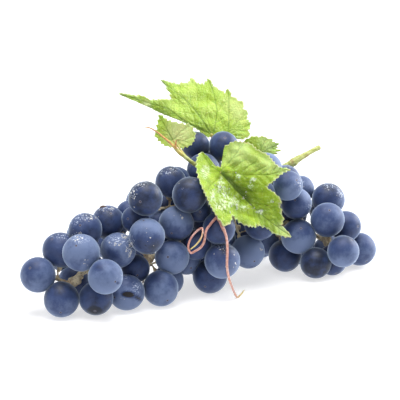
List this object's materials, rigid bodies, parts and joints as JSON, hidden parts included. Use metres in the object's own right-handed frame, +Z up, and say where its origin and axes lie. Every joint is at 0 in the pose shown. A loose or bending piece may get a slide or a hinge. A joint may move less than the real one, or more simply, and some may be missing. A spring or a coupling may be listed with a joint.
{
  "type": "bunch of grapes",
  "caption": "Bunch of blue wine grapes lying on its side, with a green shoot, toothed leaves and curling tendrils.",
  "frame": {"origin": "middle of the footprint of the whole bunch, on the surface it lies on", "axes": "+Z up, +X along the bunch from its tip to its wing, -Y out of its seen side"},
  "size_m": [0.194, 0.0797, 0.0975],
  "materials": {
    "grape_skin": "blue-black skin under a pale waxy bloom",
    "rachis_wood": "dull beige to brown",
    "shoot_bark": "satin olive green",
    "tendril_skin": "satin salmon",
    "leaf_green": "satin light green, glossy where wet"
  },
  "bodies": {
    "root": {"berries_tip": "grape_skin", "berries_left_front": "grape_skin", "berries_left_rear": "grape_skin", "berries_middle_front": "grape_skin", "berries_middle_rear": "grape_skin", "berries_middle_low": "grape_skin", "berries_top": "grape_skin", "berries_wing_near": "grape_skin", "berries_wing_top": "grape_skin", "berries_wing_end": "grape_skin", "rachis": "rachis_wood", "shoot": "shoot_bark", "tendril_left": "tendril_skin", "tendril_front": "tendril_skin", "leaf_front": "leaf_green", "leaf_back": "leaf_green", "leaf_left": "leaf_green", "leaf_right": "leaf_green"}
  },
  "joints": []
}
